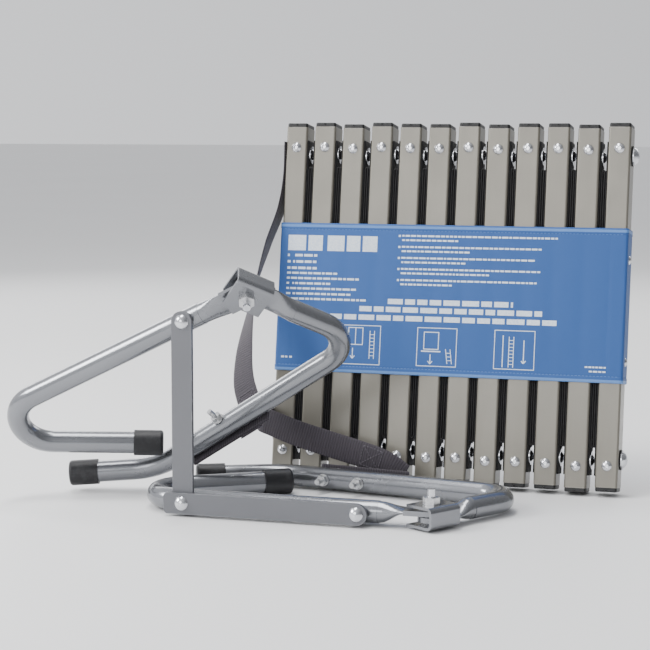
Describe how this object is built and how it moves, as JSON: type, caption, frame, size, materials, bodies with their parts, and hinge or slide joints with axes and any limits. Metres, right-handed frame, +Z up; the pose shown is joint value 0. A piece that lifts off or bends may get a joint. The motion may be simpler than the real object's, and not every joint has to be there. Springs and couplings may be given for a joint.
{
  "type": "escape ladder",
  "caption": "Folded escape ladder: a stack of tubular rungs on webbing straps, held by a printed sleeve, with two folding tube sill hooks joined by spreader bars.",
  "frame": {"origin": "middle of the underside of the whole assembly as it stands", "axes": "+X along the row of rungs, +Y from the front of the rungs to their back, +Z up"},
  "size_m": [0.5406, 0.2762, 0.3442],
  "materials": {
    "rung": "satin warm grey epoxy coat",
    "rung_cap": "moulded black",
    "tube": "silver grey enamel",
    "bar": "satin grey enamel",
    "bolt": "bright plated",
    "zinc": "zinc plated",
    "tube_cap": "moulded black",
    "webbing": "woven nylon",
    "sleeve": "printed vinyl"
  },
  "bodies": {
    "stack": {"rung_01": "rung", "rung_02": "rung", "rung_03": "rung", "rung_04": "rung", "rung_05": "rung", "rung_06": "rung", "rung_07": "rung", "rung_08": "rung", "rung_09": "rung", "rung_10": "rung", "rung_11": "rung", "rung_12": "rung", "rung_caps_top": "rung_cap", "rung_caps_bottom": "rung_cap", "front_bolts_top": "bolt", "front_bolts_bottom": "bolt", "side_rivets_top": "bolt", "side_rivets_bottom": "bolt", "web_folds_top": "webbing", "web_folds_bottom": "webbing", "label_sleeve": "sleeve", "sleeve_rivets": "bolt", "lower_hook_outer_tube": "tube", "lower_hook_bracket": "tube", "lower_hook_pivot_bolt": "zinc", "lower_hook_pivot_nut": "zinc", "lower_hook_outer_cap": "tube_cap", "lower_hook_strap_pad": "webbing", "lower_hook_stop_bolts": "zinc", "lower_hook_stop_nuts": "zinc", "strap_upper": "webbing", "strap_lower": "webbing"},
    "upper_outer": {"upper_hook_outer_tube": "tube", "upper_hook_bracket": "tube", "upper_hook_pivot_bolt": "zinc", "upper_hook_pivot_nut": "zinc", "upper_hook_outer_cap": "tube_cap", "upper_hook_stop_bolts": "zinc", "upper_hook_stop_nuts": "zinc", "upper_hook_strap_pad": "webbing"},
    "upper_inner": {"upper_hook_inner_tube": "tube", "upper_hook_inner_cap": "tube_cap", "bar_bolt_upper": "bolt", "bar_nut_upper": "bolt"},
    "bar_upper": {"spreader_bar_upper": "bar"},
    "bar_lower": {"spreader_bar_lower": "bar", "bar_rivet": "bolt"},
    "lower_inner": {"lower_hook_inner_tube": "tube", "lower_hook_inner_cap": "tube_cap", "bar_bolt_lower": "bolt", "bar_nut_lower": "bolt", "bar_spacer": "bar"}
  },
  "joints": [
    {"name": "lower_hook_fold", "type": "hinge", "parent": "stack", "child": "lower_inner", "pos_m": [0.13219, -0.11593, 0.0118], "axis": [0, 0, 1], "range_deg": [0, 58], "deforming": ["strap_upper"]},
    {"name": "bar_lower_pivot", "type": "hinge", "parent": "lower_inner", "child": "bar_lower", "pos_m": [0.07019, -0.11593, 0.0118], "axis": [0, 1, 0], "range_deg": [0, 85]},
    {"name": "bar_middle_pivot", "type": "hinge", "parent": "bar_lower", "child": "bar_upper", "pos_m": [-0.08981, -0.11593, 0.0118], "axis": [0, -1, 0], "range_deg": [-10, 88]},
    {"name": "bar_upper_pivot", "type": "hinge", "parent": "bar_upper", "child": "upper_inner", "pos_m": [-0.08981, -0.11593, 0.1718], "axis": [0, -1, 0], "range_deg": [-60, 12]},
    {"name": "upper_hook_fold", "type": "hinge", "parent": "upper_inner", "child": "upper_outer", "pos_m": [-0.03409, -0.11593, 0.19898], "axis": [0.2759, -0.7771, -0.5656], "range_deg": [0, 5]}
  ]
}
